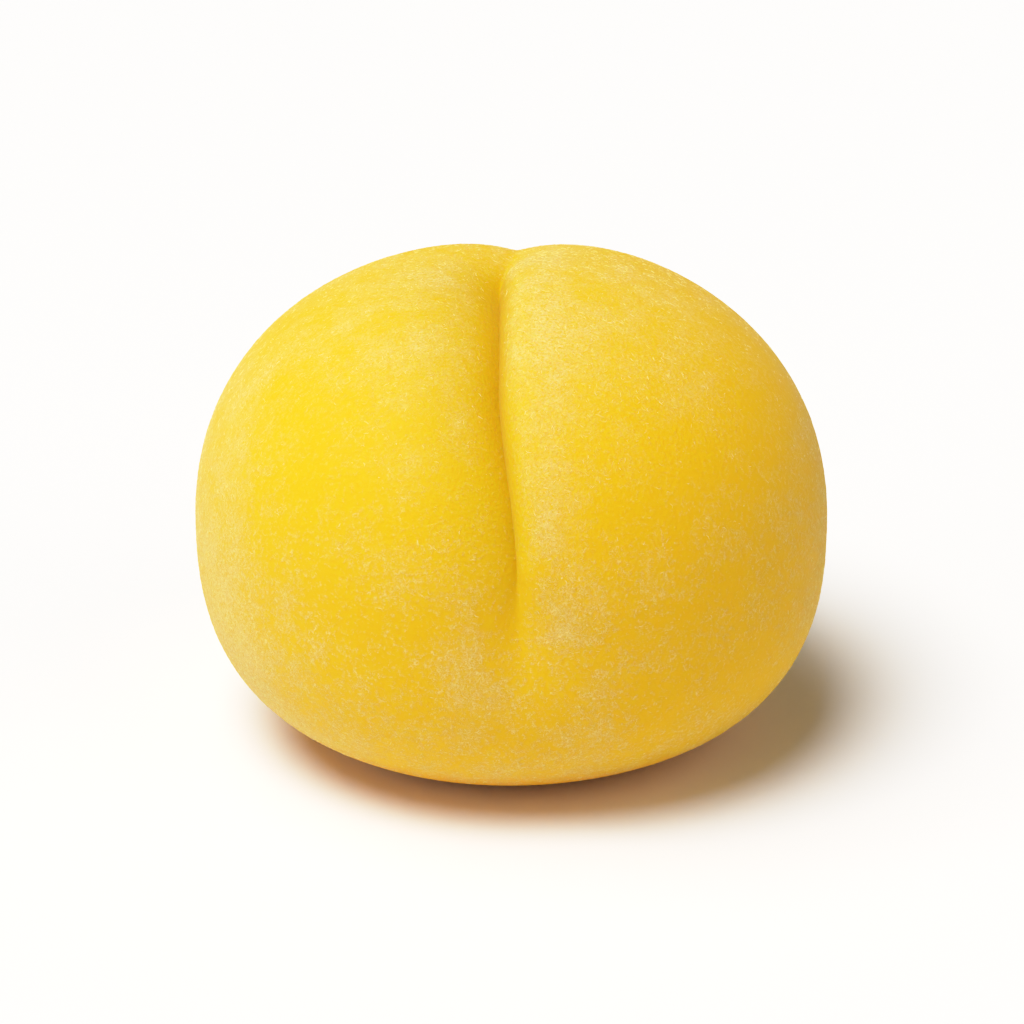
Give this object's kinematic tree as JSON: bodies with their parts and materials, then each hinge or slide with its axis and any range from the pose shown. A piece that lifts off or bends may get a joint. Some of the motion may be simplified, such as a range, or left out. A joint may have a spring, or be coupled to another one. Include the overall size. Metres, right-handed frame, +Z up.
{
  "type": "peach mochi",
  "caption": "Soft round sweet of dusted rice dough in the form of a peach, with a crease from the low front over the top and a flat foot to rest on.",
  "frame": {"origin": "on the floor, under the middle of the sweet's bounding box", "axes": "+X to the right, across the width; +Z up; the creased front faces -Y"},
  "size_m": [0.05, 0.048, 0.0386],
  "materials": {
    "dough": "matte"
  },
  "bodies": {
    "root": {"mochi": "dough"}
  },
  "joints": []
}
